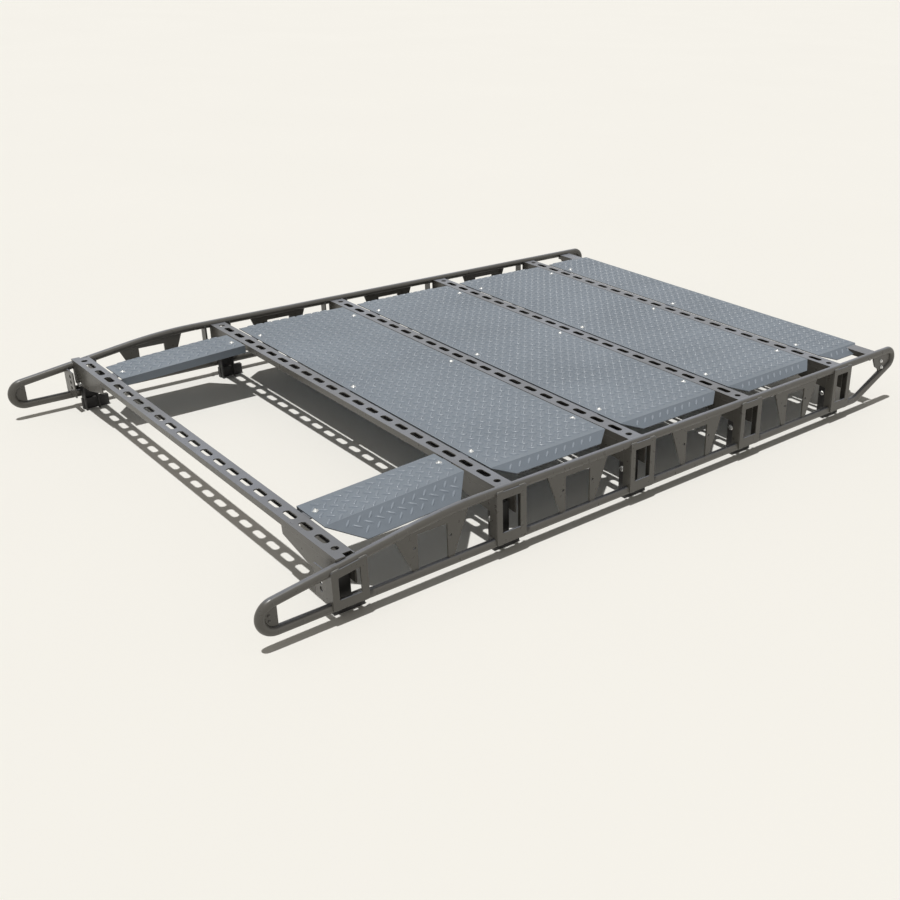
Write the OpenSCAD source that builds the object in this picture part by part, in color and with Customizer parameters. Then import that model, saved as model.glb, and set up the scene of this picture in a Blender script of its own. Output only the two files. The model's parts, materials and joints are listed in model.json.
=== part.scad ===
// Flat roof rack: two bent-tube truss rails, five slotted crossbars,
// box brackets with feet, and tread-plate deck panels.
// Millimetres, +Z up, nose towards -Y, origin on the ground under the middle.

/* [Overall] */
// Overall length from nose to tail
rack_length = 1892; // [1700:1:2100]
// Distance between the centre lines of the two rails
rail_spacing = 1304; // [1100:1:1400]
// Distance from the nose tip to the first crossbar
nose_reach = 180; // [160:1:220]
// Distance from the last crossbar to the tail tip
tail_reach = 248; // [220:1:280]

/* [Rail tubes] */
// Outer diameter of the rail tube
tube_d = 19; // [16:0.5:30]
// Wall thickness of the rail tube
tube_wall = 2; // [1:0.5:3]
// Height of the bottom tube's centre line
low_z = 35; // [28:0.5:45]
// Height of the top tube's centre line over the deck
high_z = 147.5; // [120:0.5:170]
// Angle of the falling front part of the top tube
nose_angle = 8.6; // [5:0.1:12]
// Centre-line radius of the nose bend
bend_r = 29.2; // [24:0.1:34]
// Centre-line radius of the tail bend
tail_r = 24.1; // [20:0.1:30]
// Centre-line radius of the gentle bend in the top tube
knee_r = 1200; // [600:10:1500]
// Angle of the rising tail tube
tail_angle = 25.3; // [15:0.1:30]

/* [Crossbars] */
// Width of a crossbar
bar_w = 40; // [36:1:50]
// Depth of a crossbar's folded sides
bar_h = 15; // [12:0.5:25]
// Thickness of the crossbar's sheet
bar_t = 2.5; // [2:0.5:4]
// Distance between neighbouring slots
slot_pitch = 60; // [56:1:64]
// Length of a slot
slot_l = 40; // [30:1:46]
// Width of a slot
slot_w = 15; // [10:1:18]
// Depth of a crossbar's end at the rail
end_depth = 64; // [45:1:75]
// Length of a crossbar's deep end
end_l = 192; // [120:1:220]

/* [Deck] */
// Thickness of the tread plate
plate_t = 2; // [1.5:0.5:4]
// Distance from a rail's centre line to a panel's flat top
deck_gap = 90; // [70:1:120]
// Distance from a rail's centre line to a side panel's flat top
side_gap = 117; // [90:1:160]
// Width of a side panel's flat top
side_w = 105; // [80:1:260]
// Distance from the fold of a panel to its outer bolts
bolt_fold = 90; // [60:1:120]
// Distance from a panel's edge to its bolts
bolt_in = 17; // [12:1:25]
// Gap between a panel and the crossbars beside it
gap = 4; // [2:0.5:8]
// Width of a deck panel's folded end
fold_w = 36; // [20:1:45]
// Width of a side panel's folded end
side_fold_w = 66; // [40:1:80]
// Angle of a panel's folded end
fold_angle = 20; // [10:1:45]
// Depth of the lip on a side panel's inner edge
side_lip = 20; // [8:1:30]

/* [Hidden] */
$fn = 48;

powder = [0.16, 0.16, 0.165];
powder_light = [0.24, 0.245, 0.26];
pad_black = [0.05, 0.05, 0.05];
zinc = [0.75, 0.75, 0.72];

tube_r = tube_d / 2;
rail_x = rail_spacing / 2;
nose_y = -rack_length / 2;
tail_y = rack_length / 2;
first_bar_y = nose_y + nose_reach;
bar_pitch = (rack_length - nose_reach - tail_reach) / 4;
slot_count = 2 * floor((rail_x - slot_l) / slot_pitch);
bars = [0 : 4];
bays = [0 : 3];
function bar_y(i) = first_bar_y + i * bar_pitch;

// The rail's centre line in the Y-Z plane
nose_slope = tan(nose_angle);
nose_c_y = nose_y + tube_r + bend_r;
nose_c_z = low_z + bend_r;
nose_top = [nose_c_y - bend_r * sin(nose_angle), nose_c_z + bend_r * cos(nose_angle)];
knee_y = nose_top[0] + (high_z - nose_top[1]) / nose_slope;
knee_l = knee_r * tan(nose_angle / 2);
tail_c_y = tail_y - tube_r - tail_r;
tail_c_z = high_z - tail_r;
tail_low = [tail_c_y + tail_r * sin(tail_angle), tail_c_z - tail_r * cos(tail_angle)];
tail_foot_y = tail_low[0] - (tail_low[1] - low_z) / tan(tail_angle);
tail_knee_r = 60;
tail_knee_l = tail_knee_r * tan(tail_angle / 2);

// Height of the top tube's centre line at a place along the rack
function top_z(y) =
    y < knee_y - knee_l ? high_z - (knee_y - y) * nose_slope :
    y < knee_y + knee_l ? high_z - pow(knee_y + knee_l - y, 2) / (2 * knee_r) :
    high_z;

// Crossbar tops: the first follows the falling nose, the others are level
function bar_top(i) = i == 0 ? 128.5 : 148.5;

// Sheets that meet a tube run on past its side and are cut round it
weld_gap = 0.1;
weld_lap = 4;
tube_cut_r = tube_r + weld_gap;

// Brackets at the crossbars' ends: reach, sheet, posts and header of the window
bracket_front = 38;
bracket_rear = 36;
bracket_t = 3;
front_post = 13.5;
rear_post = 15;
header = 14;
frame_lap = 2;
flange_in = 12;
wide_flange = 50;
flange_holes = [62, 77, 92];
flange_hole_d = 11;
function sill(i) = i == 0 ? 7 : 13;

// Feet: base strip, and a folded upright between the crossbar's deep ends
foot_out = 22;
foot_w = 12;
foot_h = 28;
foot_front = 20;
foot_rear = 44;
foot_fold = 24;
foot_t = 3;
foot_lap = 20;

// Strut plates: sheet, half widths at the top, foot and gap, depth over the gap
strut_t = 4;
strut_top = 83;
strut_foot = 48;
strut_gap = 34;
strut_head = 12;
strut_steps = 5;
strut_hole_d = 6;

// Filler plates in the bends: the nose plate's strip past the bend's centre, the
// tail plate's corners in front of the bend's centre, and where it meets the riser
nose_strip = 3;
tail_corners = [[-62, 14], [-62, 8], [-51, -13], [-36, -23]];
tail_plate_foot = 31;

// Crossbar ends: gap to the tube, outline of the deep ends as shares of length
// and depth, and the tongue that lies on the first bar's falling tube
end_gap = 3;
end_outline = [[0, 1], [0.5, 0.86], [0.99, 0.52], [1, 0.3]];
tongue = 22;

// Channel at the tail under the last panel: distance before the bend, panel's overhang
rear_in = 54;
panel_over = 10;
rear_y = tail_c_y - rear_in;

// Panels: halves and bolt places across the rack, height over the bars, cut corners
deck_half = rail_x - deck_gap;
side_half = rail_x - side_gap;
side_inner = side_half - side_w;
bolt_x = deck_half - bolt_fold;
deck_lift = 1;
fold_cut = 42;
side_cut = 54;
clip_w = 30;
clip_lap = 13;

// Bolts: washer and head, each as diameter and height
panel_washer = [13, 1];
panel_head = [9, 4];
rail_head = [9, 4];
rivet_head = [6, 2];
tail_bolts = [[-26, -1], [-21, -20]];
nose_rivets = [[-13, 5], [-13, -6]];
foot_bolt = [12, 5];
foot_bolt_x = 35;
foot_bolt_z = 69;

// A tube between two points of the Y-Z plane
module rod_yz(a, b) {
    d = b - a;
    translate([0, a[0], a[1]])
        rotate([-90 + atan2(d[1], d[0]), 0, 0])
            linear_extrude(norm(d)) ring();
}

// A bent tube in the Y-Z plane: centre, radius, start angle and turn
module bend_yz(c, bend, from, turn) {
    translate([0, c[0], c[1]])
        rotate([90, 0, 90])
            rotate([0, 0, from])
                rotate_extrude(angle = turn)
                    translate([bend, 0]) ring();
}

// The tube's cross-section
module ring() {
    difference() {
        circle(r = tube_r);
        circle(r = tube_r - tube_wall);
    }
}

module on_rail(side) {
    color(powder) translate([side * rail_x, 0, 0]) mirror([side < 0 ? 1 : 0, 0, 0]) children();
}

// The falling front part of the top tube
module front_tube(side) {
    on_rail(side)
        rod_yz(nose_top, [knee_y, high_z] - knee_l * [cos(nose_angle), sin(nose_angle)]);
}

// The gentle bend between the falling and the level part of the top tube
module knee_tube(side) {
    on_rail(side) bend_yz([knee_y + knee_l, high_z - knee_r], knee_r, 90, nose_angle);
}

module top_tube(side) {
    on_rail(side) rod_yz([knee_y + knee_l, high_z], [tail_c_y, high_z]);
}

module bottom_tube(side) {
    on_rail(side) rod_yz([nose_c_y, low_z], [tail_foot_y - tail_knee_l, low_z]);
}

module nose_bend(side) {
    on_rail(side) bend_yz([nose_c_y, nose_c_z], bend_r, 90 + nose_angle, 180 - nose_angle);
}

// The bend that starts the rise of the bottom tube
module tail_knee(side) {
    on_rail(side)
        bend_yz([tail_foot_y - tail_knee_l, low_z + tail_knee_r], tail_knee_r, -90, tail_angle);
}

module tail_riser(side) {
    on_rail(side)
        rod_yz([tail_foot_y, low_z] + tail_knee_l * [cos(tail_angle), sin(tail_angle)], tail_low);
}

module tail_bend(side) {
    on_rail(side) bend_yz([tail_c_y, tail_c_z], tail_r, tail_angle - 90, 180 - tail_angle);
}

// A sheet in the rail's plane, drawn in Y and Z
module rail_sheet() {
    rotate([90, 0, 90]) linear_extrude(strut_t, center = true) children();
}

// The filler plate inside the nose bend
module nose_plate() {
    inner_r = bend_r - tube_r;
    rail_sheet() {
        difference() {
            translate([nose_c_y, nose_c_z]) circle(r = inner_r);
            translate([nose_c_y, nose_c_z - bend_r]) square(2 * bend_r);
        }
        polygon([
            [nose_c_y, low_z + tube_r],
            [nose_c_y + nose_strip, low_z + tube_r],
            [nose_c_y + nose_strip, top_z(nose_c_y + nose_strip) - tube_r],
            [nose_c_y - inner_r * sin(nose_angle), nose_c_z + inner_r * cos(nose_angle)]
        ]);
    }
}

module nose_plates() {
    for (side = [-1, 1]) on_rail(side) nose_plate();
}

// The filler plate inside the tail bend, its lower edge on the riser
module tail_plate() {
    inner_r = tail_r - tube_r;
    riser_z = -inner_r / cos(tail_angle) - tail_plate_foot * tan(tail_angle);
    translate([0, tail_c_y, tail_c_z]) rail_sheet() {
        circle(r = inner_r);
        polygon(concat(
            [[0, inner_r], [tail_corners[0][0], inner_r]],
            [for (k = [1 : 3]) tail_corners[k]],
            [[-tail_plate_foot, riser_z], [inner_r * sin(tail_angle), -inner_r * cos(tail_angle)]]
        ));
    }
}

module tail_plates() {
    for (side = [-1, 1]) on_rail(side) tail_plate();
}

// One bay's truss plate: a wide top, two legs and the gap between them
module strut_plate(i) {
    y = (bar_y(i) + bar_y(i + 1)) / 2;
    z0 = low_z + tube_r;
    difference() {
        rail_sheet() difference() {
            polygon(concat(
                [[y + strut_foot, z0], [y - strut_foot, z0]],
                [for (k = [-strut_steps : strut_steps])
                    let (v = y + k * strut_top / strut_steps) [v, top_z(v) - tube_r]]
            ));
            translate([y - strut_gap, z0 - 1])
                square([2 * strut_gap, top_z(y) - tube_r - strut_head - z0 + 1]);
        }
        for (s = [-1, 1])
            translate([0, y + s * (strut_gap + strut_foot) / 2, (z0 + top_z(y)) / 2])
                rotate([0, 90, 0]) cylinder(d = strut_hole_d, h = strut_t * 2, center = true);
    }
}

module strut_plates(side) {
    on_rail(side) for (i = bays) strut_plate(i);
}

// The outer frame of the bracket at a crossbar's end, its top following the tube
module bracket_frame(i) {
    y0 = bar_y(i) - bracket_front;
    y1 = bar_y(i) + bracket_rear;
    in0 = y0 + front_post;
    in1 = y1 - rear_post;
    z0 = low_z - frame_lap;
    window_z = low_z + tube_r + sill(i);
    rotate([90, 0, 90]) translate([0, 0, tube_r]) linear_extrude(bracket_t) difference() {
        polygon([[y0, z0], [y1, z0], [y1, top_z(y1) + frame_lap], [y0, top_z(y0) + frame_lap]]);
        polygon([
            [in0, window_z], [in1, window_z], [in1, top_z(in1) - header], [in0, top_z(in0) - header]
        ]);
    }
}

// A flange of the bracket, drawn in X and Z, its ends cut round the two tubes
module bracket_flange(y, inner) {
    z0 = low_z + tube_r - weld_lap;
    z1 = top_z(y) - frame_lap;
    translate([0, y, 0]) rotate([90, 0, 0]) linear_extrude(bracket_t, center = true) difference() {
        translate([-inner, z0]) square([inner + tube_r, z1 - z0]);
        translate([0, low_z]) circle(r = tube_cut_r);
        translate([0, top_z(y)]) circle(r = tube_cut_r);
        if (inner > flange_in) for (z = flange_holes)
            translate([-inner + 2 * flange_hole_d, z]) circle(d = flange_hole_d);
    }
}

module bracket_frames(side) {
    on_rail(side) for (i = bars) bracket_frame(i);
}

module front_flanges() {
    for (side = [-1, 1], i = bars) on_rail(side)
        bracket_flange(bar_y(i) - bracket_front + bracket_t / 2, i == 0 ? wide_flange : flange_in);
}

module rear_flanges() {
    for (side = [-1, 1], i = bars) on_rail(side)
        bracket_flange(bar_y(i) + bracket_rear - bracket_t / 2, flange_in);
}

// A foot: the base strip, and the upright that is folded at its front and back
module foot(i) {
    half = bar_w / 2 - bar_t;
    translate([0, bar_y(i), 0]) {
        translate([-foot_out - foot_w, -foot_front, 0])
            cube([foot_w, foot_front + foot_rear, foot_h]);
        translate([-foot_out, 0, 0]) linear_extrude(bar_top(i) - end_depth + foot_lap) difference() {
            translate([-foot_fold, -half]) square([foot_fold, 2 * half]);
            translate([-foot_fold - foot_t, -half + foot_t]) square([foot_fold, 2 * (half - foot_t)]);
        }
    }
}

module feet(side) {
    on_rail(side) color(pad_black) for (i = bars) foot(i);
}

// The bolts through the feet, their heads towards the nose
module foot_bolts() {
    for (side = [-1, 1], i = bars) on_rail(side) color(zinc)
        translate([-foot_bolt_x, bar_y(i) - bar_w / 2 + (i == 0 ? 0 : bar_t), foot_bolt_z])
            rotate([90, 0, 0]) cylinder(d = foot_bolt[0], h = foot_bolt[1]);
}

// A sheet across the rack, drawn in X and Z, cut round the top tubes
module cross_sheet(y, t) {
    translate([0, y, 0]) rotate([90, 0, 0]) linear_extrude(t, center = true) difference() {
        children();
        for (s = [-1, 1]) translate([s * rail_x, top_z(y)]) circle(r = tube_cut_r);
    }
}

// The deep ends of a crossbar's folded sides, reaching under the tube
module bar_gussets(side) {
    x0 = rail_x - tube_r;
    x1 = rail_x - strut_t / 2;
    color(powder) for (i = bars, s = [-1, 1]) {
        z = bar_top(i);
        cross_sheet(bar_y(i) + s * (bar_w - bar_t) / 2, bar_t) scale([side, 1]) polygon(concat(
            [[x1, z - bar_h], [x1, z - end_depth]],
            [for (p = end_outline) [x0 - end_l * p[0], z - end_depth * p[1]]],
            [[x0 - end_l, z - bar_h]]
        ));
    }
}

// A channel across the rack, its top sheet ending short of the tubes
module channel(y, z) {
    top_half = rail_x - tube_r - end_gap;
    side_end = rail_x - strut_t / 2;
    translate([-top_half, y - bar_w / 2, z - bar_t]) cube([2 * top_half, bar_w, bar_t]);
    for (s = [-1, 1]) cross_sheet(y + s * (bar_w - bar_t) / 2, bar_t)
        translate([-side_end, z - bar_h]) square([2 * side_end, bar_h]);
}

module crossbar(i) {
    z = bar_top(i);
    color(powder) {
        difference() {
            channel(bar_y(i), z);
            translate([0, bar_y(i), z - bar_t - 1]) {
                for (k = [0 : slot_count - 1])
                    translate([(k - (slot_count - 1) / 2) * slot_pitch, 0, 0])
                        slot(slot_l, slot_w, bar_t + 2);
                for (s = [-1, 1])
                    translate([s * (slot_count / 2 + 0.25) * slot_pitch, 0, 0])
                        cylinder(d = slot_w, h = bar_t + 2);
            }
        }
        if (i == 0) for (s = [-1, 1])
            translate([s * rail_x - (s > 0 ? tongue : 0), bar_y(i) - bar_w / 2, z - bar_t])
                cube([tongue, bar_w / 2, bar_t]);
    }
}

module slot(l, w, h) {
    translate([-(l - w) / 2, -w / 2, 0]) cube([l - w, w, h]);
    for (s = [-1, 1]) translate([s * (l - w) / 2, 0, 0]) cylinder(d = w, h = h);
}

// The channel between the rails' tails, under the last panel
module rear_cross_member() {
    color(powder) channel(rear_y, bar_top(4) + deck_lift - plate_t);
}

// The panels' frames: y at the front edge, length along the sheet and tilt
function panel_y0(k) = bar_y(k) + bar_w / 2 + gap;
function panel_y1(k) = k < 4 ? bar_y(k + 1) - bar_w / 2 - gap : rear_y + bar_w / 2 + panel_over;
function panel_rise(k) = k == 0 ? bar_top(1) - bar_top(0) : 0;
function panel_tilt(k) = atan2(panel_rise(k), bar_pitch);
function panel_run(k) = (panel_y1(k) - panel_y0(k)) / cos(panel_tilt(k));

// Children drawn on a panel's top surface, from its front edge back
module on_panel(k) {
    start = panel_y0(k) - bar_y(k);
    translate([0, panel_y0(k), bar_top(k) + deck_lift + start * tan(panel_tilt(k))])
        rotate([panel_tilt(k), 0, 0]) children();
}

// The folded end of a panel's sheet in X and Z: fold at x, width w, from the top round
function fold_points(x, w) =
    let (out = w * cos(fold_angle), down = w * sin(fold_angle))
    [
        [x, 0], [x + out, -down],
        [x + out - plate_t * sin(fold_angle), -down - plate_t * cos(fold_angle)],
        [x - plate_t * tan(fold_angle / 2), -plate_t]
    ];

// The two corners cut off a folded end, seen from above
module end_cuts(x, w, run, depth) {
    out = w * cos(fold_angle);
    slope = depth / (out - 1);
    for (m = [0, 1]) translate([x + 1, m * run, -w]) mirror([0, m, 0])
        linear_extrude(2 * w) polygon([[-1 / slope, -1], [out, -1], [out, out * slope]]);
}

module deck_panel(k) {
    run = panel_run(k);
    end = fold_points(deck_half, fold_w);
    color(powder_light) on_panel(k) difference() {
        translate([0, run, 0]) rotate([90, 0, 0]) linear_extrude(run)
            polygon(concat(end, [for (i = [3 : -1 : 0]) [-end[i][0], end[i][1]]]));
        for (s = [0, 1]) mirror([s, 0, 0]) end_cuts(deck_half, fold_w, run, fold_cut);
    }
}

module side_panel(side) {
    run = panel_run(0);
    x = side_inner;
    lip = [[x + plate_t, -plate_t], [x + plate_t, -side_lip], [x, -side_lip], [x, 0]];
    color(powder_light) on_panel(0) mirror([side < 0 ? 1 : 0, 0, 0]) difference() {
        translate([0, run, 0]) rotate([90, 0, 0]) linear_extrude(run)
            polygon(concat(fold_points(side_half, side_fold_w), lip));
        end_cuts(side_half, side_fold_w, run, side_cut);
    }
}

// Flat lugs on the crossbars that carry the panels at their bolts
module clip(k, x, back) {
    at = back ? panel_run(k) - bolt_in : bolt_in;
    reach = bolt_in + gap + weld_gap;
    on_panel(k) translate([x - clip_w / 2, at - (back ? clip_lap : reach), -plate_t - bar_t])
        cube([clip_w, reach + clip_lap, bar_t]);
}

// Where the panels are bolted down: panel, place across the rack, at its rear edge
panel_fixings = concat(
    [for (s = [-1, 1], back = [false, true]) [0, s * bolt_x, back]],
    [for (k = [1 : 4], x = [-bolt_x, 0, bolt_x]) [k, x, false]],
    [for (k = [1 : 3], x = [-bolt_x, 0, bolt_x]) [k, x, true]]
);

module panel_clips() {
    color(powder) for (f = panel_fixings) clip(f[0], f[1], f[2]);
}

module panel_bolts() {
    color(zinc) for (f = panel_fixings) on_panel(f[0])
        translate([f[1], f[2] ? panel_run(f[0]) - bolt_in : bolt_in, 0]) {
            cylinder(d = panel_washer[0], h = panel_washer[1]);
            cylinder(d = panel_head[0], h = panel_head[1]);
        }
}

// Heads on the outer faces of the tail plates, and rivets on those of the nose plates
module rail_bolts() {
    color(zinc) for (side = [-1, 1]) on_rail(side) {
        for (p = tail_bolts) rail_head_at(tail_c_y + p[0], tail_c_z + p[1], rail_head);
        for (p = nose_rivets) rail_head_at(nose_c_y + p[0], nose_c_z + p[1], rivet_head);
    }
}

module rail_head_at(y, z, head) {
    translate([strut_t / 2, y, z]) rotate([0, 90, 0]) cylinder(d = head[0], h = head[1]);
}

front_tube(-1);  // front_tube_left
front_tube(1);  // front_tube_right
knee_tube(-1);  // knee_tube_left
knee_tube(1);  // knee_tube_right
top_tube(-1);  // top_tube_left
top_tube(1);  // top_tube_right
bottom_tube(-1);  // bottom_tube_left
bottom_tube(1);  // bottom_tube_right
nose_bend(-1);  // nose_bend_left
nose_bend(1);  // nose_bend_right
tail_knee(-1);  // tail_knee_left
tail_knee(1);  // tail_knee_right
tail_riser(-1);  // tail_riser_left
tail_riser(1);  // tail_riser_right
tail_bend(-1);  // tail_bend_left
tail_bend(1);  // tail_bend_right
nose_plates();
tail_plates();
strut_plates(-1);  // strut_plates_left
strut_plates(1);  // strut_plates_right
bracket_frames(-1);  // bracket_frames_left
bracket_frames(1);  // bracket_frames_right
front_flanges();
rear_flanges();
bar_gussets(-1);  // bar_gussets_left
bar_gussets(1);  // bar_gussets_right
feet(-1);  // feet_left
feet(1);  // feet_right
crossbar(0);  // crossbar_1
crossbar(1);  // crossbar_2
crossbar(2);  // crossbar_3
crossbar(3);  // crossbar_4
crossbar(4);  // crossbar_5
rear_cross_member();
side_panel(-1);  // side_panel_left
side_panel(1);  // side_panel_right
deck_panel(1);  // deck_panel_1
deck_panel(2);  // deck_panel_2
deck_panel(3);  // deck_panel_3
deck_panel(4);  // deck_panel_4
panel_clips();
panel_bolts();
rail_bolts();
foot_bolts();
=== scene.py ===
"""Looks of the roof rack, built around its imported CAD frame. Metres, +Z up, nose towards -Y."""

import json
import math

import bmesh
import bpy
from mathutils import Matrix, Vector


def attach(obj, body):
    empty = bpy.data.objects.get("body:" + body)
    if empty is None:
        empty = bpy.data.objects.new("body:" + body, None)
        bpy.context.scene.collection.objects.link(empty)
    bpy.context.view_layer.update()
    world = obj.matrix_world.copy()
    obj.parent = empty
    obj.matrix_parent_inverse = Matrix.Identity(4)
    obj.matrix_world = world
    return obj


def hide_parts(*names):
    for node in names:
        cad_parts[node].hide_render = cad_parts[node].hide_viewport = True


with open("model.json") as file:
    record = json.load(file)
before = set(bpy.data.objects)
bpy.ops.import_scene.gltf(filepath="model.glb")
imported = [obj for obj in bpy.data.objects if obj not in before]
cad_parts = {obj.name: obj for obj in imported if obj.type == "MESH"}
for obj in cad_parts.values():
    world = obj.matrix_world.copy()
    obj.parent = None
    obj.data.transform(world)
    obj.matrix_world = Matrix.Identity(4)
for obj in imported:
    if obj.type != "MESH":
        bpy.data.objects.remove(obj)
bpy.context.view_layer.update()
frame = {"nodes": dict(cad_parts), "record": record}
nodes = frame["nodes"]

MM = 0.001

# Places repeated from part.scad, in millimetres
RAIL_X = 652.0
TUBE_R = 9.5
LOW_Z, HIGH_Z = 35.0, 147.5
NOSE_ANGLE = math.radians(8.6)
KNEE_Y, KNEE_R = -551.8, 1200.0
NOSE_CENTRE = (-907.3, 64.2)
TAIL_CENTRE = (912.4, 123.4)
FIRST_BAR_Y = -766.0
BAR_PITCH = 366.0
BAR_W, BAR_H, BAR_T = 40.0, 15.0, 2.5
BAR_TOPS = (128.5, 148.5, 148.5, 148.5, 148.5)
REAR_BAR = (858.4, 147.5)
BRACKET_FRONT, BRACKET_REAR = 38.0, 36.0
STRUT_T = 4.0
GAP = 4.0
DECK_LIFT = 1.0
DECK_HALF = 562.0
SIDE_OUTER = 535.0
SIDE_INNER = 430.0
LAST_PANEL_END = 888.4
FOLD_W = 36.0
SIDE_FOLD_W = 66.0
FOLD_ANGLE = math.radians(20)
FOLD_CUT = 42.0
SIDE_CUT = 54.0
BOLT_X = 472.0
BOLT_IN = 17.0
FOOT_BOLT_X, FOOT_BOLT_Z = 617.0, 69.0
NOSE_RIVETS = ((-13, 5), (-13, -6))         # along Y and Z from NOSE_CENTRE
TAIL_BOLTS = ((-26, -1), (-21, -20))        # along Y and Z from TAIL_CENTRE
STRUT_TOPS = ((-72, 9), (0, 12), (72, 9))   # places along Y from the bay's middle, and half widths
STRUT_FEET = ((-41, 6), (41, 6))


def bar_y(i):
    return FIRST_BAR_Y + i * BAR_PITCH


def top_z(y):
    """Height of the top tube's centre line."""
    knee = KNEE_R * math.tan(NOSE_ANGLE / 2)
    if y < KNEE_Y - knee:
        return HIGH_Z - (KNEE_Y - y) * math.tan(NOSE_ANGLE)
    if y < KNEE_Y + knee:
        return HIGH_Z - (KNEE_Y + knee - y) ** 2 / (2 * KNEE_R)
    return HIGH_Z


# Shader graphs

def add(tree, kind, inputs=None, **settings):
    """A shader node with its settings, and its inputs set to values or linked to sockets."""
    node = tree.nodes.new(kind)
    for key, value in settings.items():
        setattr(node, key, value)
    for key, value in (inputs or {}).items():
        if isinstance(value, bpy.types.NodeSocket):
            tree.links.new(value, node.inputs[key])
        else:
            node.inputs[key].default_value = value
    return node


def noise(tree, coords, scale, detail=3.0, roughness=0.5):
    return add(tree, "ShaderNodeTexNoise",
               {"Vector": coords, "Scale": scale, "Detail": detail, "Roughness": roughness}).outputs["Fac"]


def span(tree, value, low, high, to_low=0.0, to_high=1.0):
    """The value's range from low to high, spread over another range and held at its ends."""
    return add(tree, "ShaderNodeMapRange",
               {"Value": value, "From Min": low, "From Max": high, "To Min": to_low, "To Max": to_high},
               clamp=True).outputs["Result"]


def maths(tree, operation, a, b):
    return add(tree, "ShaderNodeMath", {0: a, 1: b}, operation=operation).outputs[0]


def mix(tree, share, a, b):
    node = add(tree, "ShaderNodeMix", data_type="RGBA")
    for key, value in ((0, share), (6, a), (7, b)):
        if isinstance(value, bpy.types.NodeSocket):
            tree.links.new(value, node.inputs[key])
        else:
            node.inputs[key].default_value = value
    return node.outputs[2]


def rgb(r, g, b):
    return (r, g, b, 1.0)


def edge_mask(tree, radius):
    """1 on the sharp edges of a solid and 0 on its faces."""
    bevel = add(tree, "ShaderNodeBevel", {"Radius": radius}, samples=4).outputs[0]
    face = add(tree, "ShaderNodeNewGeometry").outputs["Normal"]
    agree = add(tree, "ShaderNodeVectorMath", {0: bevel, 1: face}, operation="DOT_PRODUCT").outputs["Value"]
    return span(tree, agree, 1.0, 0.86)


def coated(name, base, worn_and_highlight, dust_and_sky_sheen, rough=(0.40, 0.55), grain=(1300.0, 0.00022), edge=0.0011, dust_and_sky_sheen_share=0.25,
           level=(0.2, 0.95)):
    """Satin powder coat: mottled colour, fine grain, lighter edges and a lighter, bluer film on top.

    The lighter edges are wear with a painted edge highlight, and the film on top is dust with a painted
    reflection of the sky. The film starts and is full at the two values of the surface's upward lean in
    level."""
    material = bpy.data.materials.new(name)
    material.use_nodes = True
    tree = material.node_tree
    shader = tree.nodes["Principled BSDF"]
    coords = add(tree, "ShaderNodeTexCoord").outputs["Object"]
    broad = noise(tree, coords, 5.0, 4.0)
    fine = noise(tree, coords, 70.0, 4.0)
    specks = noise(tree, coords, grain[0], 2.0)
    darker = rgb(*(c * 0.82 for c in base))
    lighter = rgb(*(min(1.0, c * 1.2) for c in base))
    mottle = maths(tree, "ADD", maths(tree, "MULTIPLY", broad, 0.6), maths(tree, "MULTIPLY", fine, 0.4))
    colour = mix(tree, mottle, darker, lighter)
    normal = add(tree, "ShaderNodeNewGeometry").outputs["Normal"]
    up = add(tree, "ShaderNodeSeparateXYZ", {0: normal}).outputs["Z"]
    # Painted sky reflection with dust: faces that lean upward are mixed towards a lighter, bluer colour.
    dust_and_sky_sheen_film = maths(tree, "MULTIPLY", span(tree, up, *level), span(tree, broad, 0.25, 0.75, 0.4 * dust_and_sky_sheen_share, dust_and_sky_sheen_share))
    colour = mix(tree, dust_and_sky_sheen_film, colour, rgb(*dust_and_sky_sheen))
    # Lighter edges: wear, with a painted edge highlight.
    wear_and_highlight = maths(tree, "MULTIPLY", edge_mask(tree, edge), span(tree, fine, 0.35, 0.65, 0.25, 0.9))
    colour = mix(tree, wear_and_highlight, colour, rgb(*worn_and_highlight))
    tree.links.new(colour, shader.inputs["Base Color"])
    tree.links.new(span(tree, fine, 0.3, 0.7, *rough), shader.inputs["Roughness"])
    soft_edge = add(tree, "ShaderNodeBevel", {"Radius": edge}, samples=4).outputs[0]
    bump = add(tree, "ShaderNodeBump",
               {"Strength": 0.35, "Distance": grain[1], "Height": specks, "Normal": soft_edge})
    tree.links.new(bump.outputs["Normal"], shader.inputs["Normal"])
    return material


def bright_zinc(name, base, rough):
    """Plated bolt steel: streaked, slightly stained and with small scratches."""
    material = bpy.data.materials.new(name)
    material.use_nodes = True
    tree = material.node_tree
    shader = tree.nodes["Principled BSDF"]
    coords = add(tree, "ShaderNodeTexCoord").outputs["Object"]
    stain = noise(tree, coords, 240.0, 4.0)
    drawn = add(tree, "ShaderNodeMapping", {"Vector": coords, "Scale": (1.0, 14.0, 1.0)}).outputs[0]
    scratch = noise(tree, drawn, 420.0, 2.0)
    colour = mix(tree, span(tree, stain, 0.35, 0.7), rgb(*base), rgb(*(c * 0.78 for c in base)))
    tree.links.new(colour, shader.inputs["Base Color"])
    tree.links.new(span(tree, scratch, 0.3, 0.7, *rough), shader.inputs["Roughness"])
    shader.inputs["Metallic"].default_value = 1.0
    bump = add(tree, "ShaderNodeBump", {"Strength": 0.2, "Distance": 0.0001, "Height": scratch})
    tree.links.new(bump.outputs["Normal"], shader.inputs["Normal"])
    return material


# Frame: the lighter, bluish film on the tops of tubes and bars is a painted reflection of the sky, partly
# dust.
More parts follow.
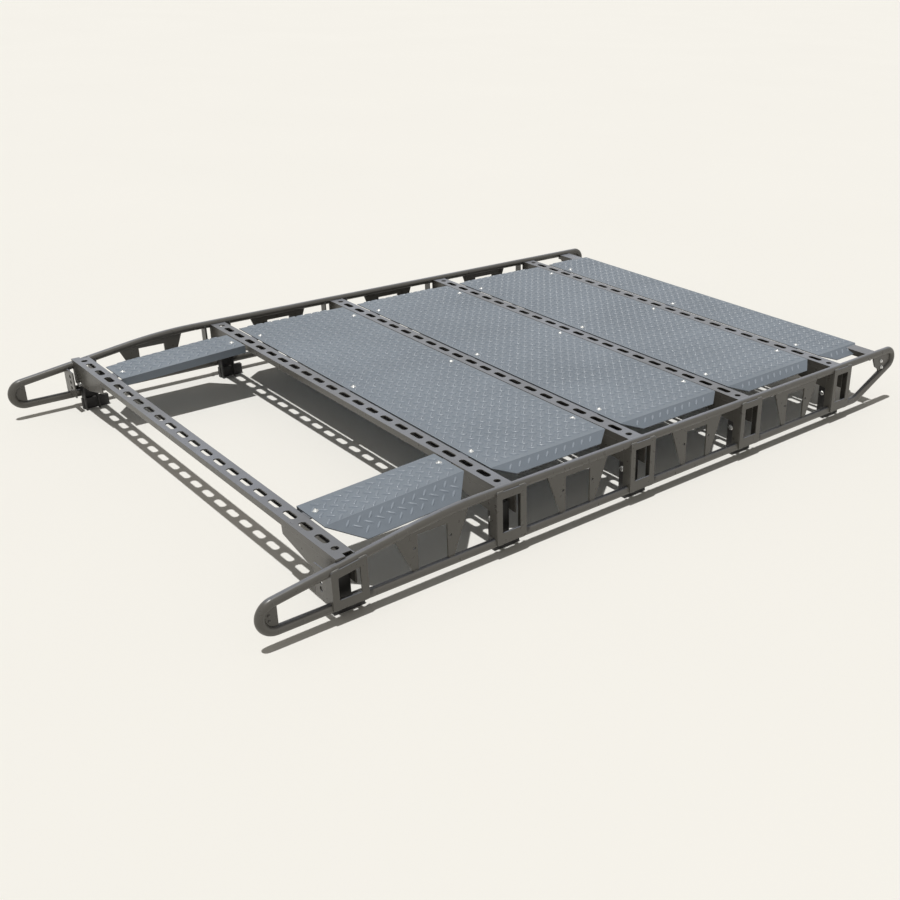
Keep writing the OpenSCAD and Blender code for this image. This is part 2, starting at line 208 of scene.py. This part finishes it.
frame_coat = coated("frame_coat", (0.092, 0.087, 0.077), (0.19, 0.19, 0.186), (0.315, 0.352, 0.445),
                    rough=(0.26, 0.38), dust_and_sky_sheen_share=0.55, level=(0.80, 0.99))
# Tread plate: the lighter, bluer film reaches only nearly flat faces, so the flat tops are painted lighter
# than the folded slopes. This is a painted sky reflection, partly dust.
tread_coat = coated("tread_coat", (0.139, 0.167, 0.204), (0.35, 0.38, 0.43), (0.286, 0.330, 0.388),
                    rough=(0.40, 0.56), grain=(900.0, 0.0003), dust_and_sky_sheen_share=0.50, level=(0.945, 0.995))
# The ribs take a lighter copy of the tread plate's colour, and the plate between them is darker. This is
# painted light on the ribs and painted shade between them, partly wear on the ribs.
worn_and_lit_rib_coat = coated("worn_and_lit_rib_coat", (0.230, 0.270, 0.326), (0.48, 0.52, 0.58), (0.33, 0.372, 0.430),
                  rough=(0.20, 0.32), grain=(900.0, 0.0002), edge=0.0006, dust_and_sky_sheen_share=0.22)
foot_coat = coated("foot_coat", (0.030, 0.029, 0.028), (0.10, 0.10, 0.10), (0.16, 0.15, 0.14),
                   rough=(0.5, 0.65), dust_and_sky_sheen_share=0.2)
weld_coat = coated("weld_coat", (0.115, 0.112, 0.102), (0.30, 0.30, 0.295), (0.42, 0.42, 0.42),
                   rough=(0.3, 0.42), edge=0.0005, dust_and_sky_sheen_share=0.4)
zinc = bright_zinc("bright_zinc", (0.80, 0.80, 0.78), (0.22, 0.36))

FINISH = {"frame_coat": frame_coat, "tread_plate": tread_coat, "foot_pads": foot_coat, "zinc_bolts": zinc}
for row in frame["record"]["subparts"]:
    solid = nodes[row["node"]]
    solid.data.materials.clear()
    solid.data.materials.append(FINISH[row["material_slot"]])


# Pieces in mesh code

def piece(name, mesh, material, smooth=True):
    """A finished object from a bmesh in millimetres, riding on the rack."""
    bmesh.ops.recalc_face_normals(mesh, faces=mesh.faces)
    data = bpy.data.meshes.new(name)
    mesh.transform(Matrix.Scale(MM, 4))
    mesh.to_mesh(data)
    mesh.free()
    for face in data.polygons:
        face.use_smooth = smooth
    made = bpy.data.objects.new(name, data)
    bpy.context.scene.collection.objects.link(made)
    data.materials.append(material)
    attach(made, "root")
    return made


def turns(sides):
    """The angles that share a full turn out evenly."""
    return [2 * math.pi * i / sides for i in range(sides)]


def bridge(mesh, low, high):
    """Joins two rings of as many corners with a band of faces."""
    for i in range(len(low)):
        j = (i + 1) % len(low)
        mesh.faces.new((low[i], low[j], high[j], high[i]))


def panel_frame(k):
    """The panel's own frame: X across the rack, Y along the sheet from its front edge, Z off the sheet."""
    rise = BAR_TOPS[k + 1] - BAR_TOPS[k] if k < 4 else 0.0
    tilt = math.atan2(rise, BAR_PITCH)
    start = BAR_W / 2 + GAP
    corner = Vector((0, bar_y(k) + start, BAR_TOPS[k] + DECK_LIFT + start * math.tan(tilt)))
    return Matrix.Translation(corner) @ Matrix.Rotation(tilt, 4, "X"), tilt


def panel_run(k):
    end = bar_y(k + 1) - BAR_W / 2 - GAP if k < 4 else LAST_PANEL_END
    return (end - bar_y(k) - BAR_W / 2 - GAP) / math.cos(panel_frame(k)[1])


RIB_L, RIB_W, RIB_H = 22.0, 6.0, 2.1
RIB_CELL = (30.0, 24.6)
RIB_LEVELS = ((-0.15, 1.0, 1.0), (0.75 * RIB_H, 0.86, 0.66), (RIB_H, 0.66, 0.26))
RIB_SIDES = 8


def add_rib(mesh, place, turn):
    """One raised rib of the tread: a low lens, turned in the sheet's plane."""
    spin = place @ Matrix.Rotation(turn, 4, "Z")
    rings = []
    for z, along, across in RIB_LEVELS:
        a_long, a_cross = along * RIB_L / 2, across * RIB_W / 2
        rings.append([mesh.verts.new(spin @ Vector((a_long * math.cos(a), a_cross * math.sin(a), z)))
                      for a in turns(RIB_SIDES)])
    for low, high in zip(rings, rings[1:]):
        bridge(mesh, low, high)
    mesh.faces.new(rings[-1])


def rib_fits(x, y, turn, bounds):
    """Whether a rib at x, y keeps clear of the sheet's edges and cut corners."""
    dx, dy = abs(RIB_L / 2 * math.cos(turn)), abs(RIB_L / 2 * math.sin(turn))
    x0, x1, y0, y1, cut = bounds
    if x - dx < x0 + 1 or x + dx > x1 - 2 or y - dy < y0 + 2 or y + dy > y1 - 2:
        return False
    edge = max(0.0, (x + dx - x0) / (x1 - x0)) * cut + 3 if cut else 0.0
    return y0 + edge < y - dy and y + dy < y1 - edge


def tread_ribs(mesh, k, bounds, to_panel):
    """Fills a stretch of a panel with ribs: one leaning each way in every cell."""
    x0, x1, y0, y1, _ = bounds
    cell_x, cell_y = RIB_CELL
    for shift, turn in ((0.0, math.pi / 4), (0.5, -math.pi / 4)):
        for i in range(math.floor(x0 / cell_x) - 1, math.ceil(x1 / cell_x) + 1):
            for j in range(0, math.ceil(y1 / cell_y) + 1):
                x, y = (i + shift) * cell_x, (j + shift) * cell_y + 4
                if rib_fits(x, y, turn, bounds):
                    add_rib(mesh, panel_frame(k)[0] @ to_panel @ Matrix.Translation((x, y, 0)), turn)


def folded_end(at, side):
    """The frame of a folded end: it starts at the fold and falls away from the panel's flat top."""
    return Matrix.Translation((side * at, 0, 0)) @ Matrix.Rotation(side * FOLD_ANGLE, 4, "Y")


for k in range(1, 5):
    mesh = bmesh.new()
    run = panel_run(k)
    tread_ribs(mesh, k, (-DECK_HALF, DECK_HALF, 0, run, 0), Matrix.Identity(4))
    tread_ribs(mesh, k, (0, FOLD_W, 0, run, FOLD_CUT), folded_end(DECK_HALF, 1))
    mirror = Matrix.Scale(-1, 4, (1, 0, 0))
    tread_ribs(mesh, k, (0, FOLD_W, 0, run, FOLD_CUT), mirror @ folded_end(DECK_HALF, 1))
    piece(f"tread_ribs_{k}", mesh, worn_and_lit_rib_coat)

for side, name in ((-1, "left"), (1, "right")):
    mesh = bmesh.new()
    run = panel_run(0)
    half = Matrix.Scale(-1, 4, (1, 0, 0)) if side < 0 else Matrix.Identity(4)
    tread_ribs(mesh, 0, (SIDE_INNER, SIDE_OUTER, 0, run, 0), half)
    tread_ribs(mesh, 0, (0, SIDE_FOLD_W, 0, run, SIDE_CUT), half @ folded_end(SIDE_OUTER, 1))
    piece(f"tread_ribs_{name}", mesh, worn_and_lit_rib_coat)


def lathe(mesh, place, profile, sides=24):
    """A turned form about the frame's Z axis, from (radius, height) points; radius 0 closes it."""
    rings = []
    for radius, z in profile:
        if radius == 0:
            rings.append([mesh.verts.new(place @ Vector((0, 0, z)))])
        else:
            rings.append([mesh.verts.new(place @ Vector((radius * math.cos(a), radius * math.sin(a), z)))
                          for a in turns(sides)])
    for low, high in zip(rings, rings[1:]):
        if len(low) == len(high):
            bridge(mesh, low, high)
            continue
        for i in range(sides):
            j = (i + 1) % sides
            if len(low) == 1:
                mesh.faces.new((low[0], high[j], high[i]))
            else:
                mesh.faces.new((low[i], low[j], high[0]))


def button_bolt(mesh, place, washer_r=6.5, head_r=4.7, head_h=3.0, socket=2.4):
    """A washer and a domed head with its six-sided socket."""
    washer_top = 1.0
    lathe(mesh, place, ((0, 0.02), (washer_r, 0.02), (washer_r, 0.8), (washer_r - 0.3, washer_top),
                        (0, washer_top)))
    dome = [(head_r * math.cos(t), washer_top + (head_h - 0.2) * math.sin(t)) for t in (0, 0.35, 0.7, 1.02)]
    rim = socket + 0.2
    lathe(mesh, place, dome + [(rim, washer_top + head_h)])
    top, bottom = ([mesh.verts.new(place @ Vector((r * math.cos(a), r * math.sin(a), z))) for a in turns(6)]
                   for r, z in ((rim, washer_top + head_h), (socket, head_h - 0.4)))
    bridge(mesh, top, bottom)
    mesh.faces.new(bottom)


def bolt_places():
    """Every panel bolt's frame, on the panel's top."""
    for k in range(5):
        xs = (-BOLT_X, BOLT_X) if k == 0 else (-BOLT_X, 0, BOLT_X)
        for back in (False, True):
            if k == 4 and back:
                continue
            for x in xs:
                y = panel_run(k) - BOLT_IN if back else BOLT_IN
                yield panel_frame(k)[0] @ Matrix.Translation((x, y, 0))


mesh = bmesh.new()
for place in bolt_places():
    button_bolt(mesh, place)
bolts = piece("panel_bolt_heads", mesh, zinc)
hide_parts("panel_bolts")


def hex_bolt(mesh, place, flange_r, head_r, height):
    """A six-sided head with a chamfered top on its round flange."""
    lathe(mesh, place, ((0, 0.02), (flange_r, 0.02), (flange_r, 0.9), (flange_r * 0.78, 1.5), (0, 1.5)))
    rings = [[mesh.verts.new(place @ Vector((r * math.cos(a), r * math.sin(a), z))) for a in turns(6)]
             for r, z in ((head_r, 1.2), (head_r, height - 0.5), (head_r * 0.88, height))]
    for low, high in zip(rings, rings[1:]):
        bridge(mesh, low, high)
    mesh.faces.new(rings[-1])


def facing(x, y, z, towards, turn=0.0):
    """A frame at a place whose Z axis points in the given direction."""
    spin = Vector(towards).to_track_quat("Z", "Y").to_matrix().to_4x4()
    return Matrix.Translation((x, y, z)) @ spin @ Matrix.Rotation(turn, 4, "Z")


mesh = bmesh.new()
for side in (-1, 1):
    for i in range(5):
        depth = BAR_W / 2 - (BAR_T if i else 0)
        place = facing(side * FOOT_BOLT_X, bar_y(i) - depth, FOOT_BOLT_Z, (0, -1, 0), 0.4 * i)
        hex_bolt(mesh, place, 6.5, 5.2, 5)
heads = piece("foot_bolt_heads", mesh, zinc, smooth=False)
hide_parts("foot_bolts")

PLATE_FACE = RAIL_X + STRUT_T / 2

mesh = bmesh.new()
for side in (-1, 1):
    for y, z in TAIL_BOLTS:
        place = facing(side * PLATE_FACE, TAIL_CENTRE[0] + y, TAIL_CENTRE[1] + z, (side, 0, 0), y)
        hex_bolt(mesh, place, 4.9, 4.0, 4)
heads = piece("tail_bolt_heads", mesh, zinc, smooth=False)
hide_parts("rail_bolts")

mesh = bmesh.new()
for side in (-1, 1):
    for y, z in NOSE_RIVETS:
        place = facing(side * PLATE_FACE, NOSE_CENTRE[0] + y, NOSE_CENTRE[1] + z, (side, 0, 0))
        lathe(mesh, place, ((3, 0), (2.8, 0.9), (2.0, 1.6), (0.9, 1.95), (0, 2)), sides=16)
rivets = piece("nose_rivets", mesh, frame_coat)
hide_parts("rail_bolts")


# The crossbars' edges turn inward under the slots

LIP_W, LIP_T = 7.0, 2.0


def bar_lip(mesh, y, z, side, half):
    """One inward lip along a bar, its free edge rounded."""
    out = BAR_W / 2 - BAR_T
    section = [(out, 0), (out, LIP_T), (out - LIP_W + 0.6, LIP_T), (out - LIP_W, LIP_T - 0.6),
               (out - LIP_W, 0.6), (out - LIP_W + 0.6, 0)]
    ends = [[mesh.verts.new(Vector((x, y + side * a, z + b))) for a, b in section] for x in (-half, half)]
    bridge(mesh, *ends)
    mesh.faces.new(ends[0])
    mesh.faces.new(list(reversed(ends[1])))


mesh = bmesh.new()
for y, top in [(bar_y(i), BAR_TOPS[i]) for i in range(5)] + [REAR_BAR]:
    for side in (-1, 1):
        bar_lip(mesh, y, top - BAR_H, side, RAIL_X - TUBE_R - 3)
piece("crossbar_lips", mesh, frame_coat, smooth=False)


# Weld beads between the tubes and the plates

BEAD_R, THIN_BEAD_R = 1.9, 1.5
BEAD_X = RAIL_X + TUBE_R + 0.7
BEAD_OFF = 2.6      # a bracket bead's height over the top tube's centre line, and under the bottom tube's


def weld_bead(mesh, start, end, radius=BEAD_R, step=1.1):
    """A rippled bead between two points, tapered at both ends."""
    start, end = Vector(start), Vector(end)
    axis = end - start
    count = max(6, round(axis.length / step))
    frame_of = axis.to_track_quat("Z", "Y").to_matrix()
    rings = []
    for n in range(count + 1):
        t = n / count
        taper = min(1.0, 5 * t + 0.3, 5 * (1 - t) + 0.3)
        r = radius * taper * (1 + 0.14 * math.cos(n * 2.1))
        centre = start + axis * t
        rings.append([mesh.verts.new(centre + frame_of @ Vector((r * math.cos(a), r * math.sin(a), 0)))
                      for a in turns(8)])
    for low, high in zip(rings, rings[1:]):
        bridge(mesh, low, high)
    mesh.faces.new(rings[0])
    mesh.faces.new(rings[-1])


mesh = bmesh.new()
for side in (-1, 1):
    for i in range(5):
        for y0, y1 in ((-BRACKET_FRONT + 1, -BRACKET_FRONT + 18), (BRACKET_REAR - 18, BRACKET_REAR - 1)):
            y0, y1 = bar_y(i) + y0, bar_y(i) + y1
            x = side * BEAD_X
            weld_bead(mesh, (x, y0, top_z(y0) + BEAD_OFF), (x, y1, top_z(y1) + BEAD_OFF))
            weld_bead(mesh, (x, y0, LOW_Z - BEAD_OFF), (x, y1, LOW_Z - BEAD_OFF))
    for i in range(4):
        middle = (bar_y(i) + bar_y(i + 1)) / 2
        face = side * (PLATE_FACE + 0.4)
        sunk = TUBE_R - 0.1
        for at, half in STRUT_TOPS:
            y0, y1 = middle + at - half, middle + at + half
            weld_bead(mesh, (face, y0, top_z(y0) - sunk), (face, y1, top_z(y1) - sunk), THIN_BEAD_R)
        for at, half in STRUT_FEET:
            y0, y1 = middle + at - half, middle + at + half
            weld_bead(mesh, (face, y0, LOW_Z + sunk), (face, y1, LOW_Z + sunk), THIN_BEAD_R)
piece("weld_beads", mesh, weld_coat)


# Floor, light and camera

FLOOR_HALF = 60.0
FLOOR_Z = -0.0005
FLOOR_TONES = rgb(0.925, 0.92, 0.895), rgb(0.95, 0.945, 0.92)


def floor_material():
    material = bpy.data.materials.new("floor")
    material.use_nodes = True
    tree = material.node_tree
    shader = tree.nodes["Principled BSDF"]
    coords = add(tree, "ShaderNodeTexCoord").outputs["Object"]
    tone = mix(tree, noise(tree, coords, 0.8, 3.0), *FLOOR_TONES)
    tree.links.new(tone, shader.inputs["Base Color"])
    shader.inputs["Roughness"].default_value = 0.9
    shader.inputs["Specular IOR Level"].default_value = 0.2
    return material


mesh = bmesh.new()
bmesh.ops.create_grid(mesh, x_segments=8, y_segments=8, size=FLOOR_HALF)
data = bpy.data.meshes.new("floor")
mesh.to_mesh(data)
mesh.free()
floor = bpy.data.objects.new("floor", data)
floor.location = (0, 0, FLOOR_Z)
bpy.context.scene.collection.objects.link(floor)
data.materials.append(floor_material())

# A soft warm fill lights the rack, while the camera, gloss and glass see a pale backdrop

FILL_COLOUR, FILL = rgb(1.0, 0.94, 0.84), 0.21
BACKDROP_COLOUR, BACKDROP = rgb(0.93, 0.93, 0.92), 0.92

world = bpy.data.worlds.new("studio")
bpy.context.scene.world = world
world.use_nodes = True
tree = world.node_tree
path = add(tree, "ShaderNodeLightPath").outputs
seen = maths(tree, "MAXIMUM", maths(tree, "MAXIMUM", path["Is Camera Ray"], path["Is Glossy Ray"]),
             path["Is Transmission Ray"])
background = tree.nodes["Background"]
tree.links.new(mix(tree, seen, FILL_COLOUR, BACKDROP_COLOUR), background.inputs["Color"])
tree.links.new(span(tree, seen, 0, 1, FILL, BACKDROP), background.inputs["Strength"])

SUN_TRAVEL = Vector((-0.05, 0.13, -1.0))
lamp = bpy.data.lights.new("key", "SUN")
lamp.energy = 2.42
lamp.angle = math.radians(1.5)
lamp.color = (1.0, 0.985, 0.95)
key = bpy.data.objects.new("key", lamp)
key.rotation_euler = SUN_TRAVEL.to_track_quat("-Z", "Y").to_euler()
bpy.context.scene.collection.objects.link(key)

# The camera as it was solved from the photograph

CAMERA_PLACE = (2.1860, -1.5895, 1.1302)
AZIMUTH, ELEVATION, ROLL = (math.radians(a) for a in (45.751, 24.810, 2.168))
LENS_MM, SHIFT_X = 43.63, -0.189

back = Vector((math.sin(AZIMUTH) * math.cos(ELEVATION), -math.cos(AZIMUTH) * math.cos(ELEVATION),
               math.sin(ELEVATION)))
right = Vector((math.cos(AZIMUTH), math.sin(AZIMUTH), 0))
up = back.cross(right)
turned_right = math.cos(ROLL) * right + math.sin(ROLL) * up
turned_up = -math.sin(ROLL) * right + math.cos(ROLL) * up
lens = bpy.data.cameras.new("camera")
lens.sensor_width = 36
lens.lens = LENS_MM
lens.shift_x = SHIFT_X
lens.clip_end = 200
camera = bpy.data.objects.new("camera", lens)
camera_turn = Matrix((turned_right, turned_up, back)).transposed()
camera.matrix_world = Matrix.Translation(CAMERA_PLACE) @ camera_turn.to_4x4()
bpy.context.scene.collection.objects.link(camera)
bpy.context.scene.camera = camera
bpy.context.scene.view_settings.view_transform = "Standard"
